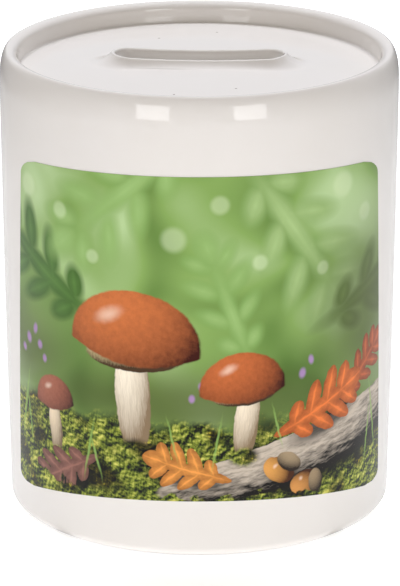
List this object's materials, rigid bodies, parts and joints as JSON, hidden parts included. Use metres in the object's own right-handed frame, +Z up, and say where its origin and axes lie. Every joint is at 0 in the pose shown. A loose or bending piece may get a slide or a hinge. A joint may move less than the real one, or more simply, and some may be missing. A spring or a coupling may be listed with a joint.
{
  "type": "money box",
  "caption": "Round glazed ceramic money box with a raised coin slot in its sunken lid, a printed panel on the front and a pull-out stopper in the base.",
  "frame": {"origin": "centre of the foot ring's resting face, on the axis of the body", "axes": "+Z up along the body's axis, the coin slot runs along X, the printed panel faces -Y"},
  "size_m": [0.08, 0.0801, 0.0942],
  "materials": {
    "glaze": "glossy warm white glaze",
    "print": "glossy printed coating, woodland greens with rust and brown",
    "stopper_rubber": "matt black soft rubber"
  },
  "bodies": {
    "money_box": {"ceramic_body": "glaze", "printed_panel": "print"},
    "bung": {"stopper": "stopper_rubber"}
  },
  "joints": [
    {"name": "stopper_pull", "type": "slide", "parent": "money_box", "child": "bung", "axis": [0, 0, -1], "range_m": [0, 0.02]}
  ]
}
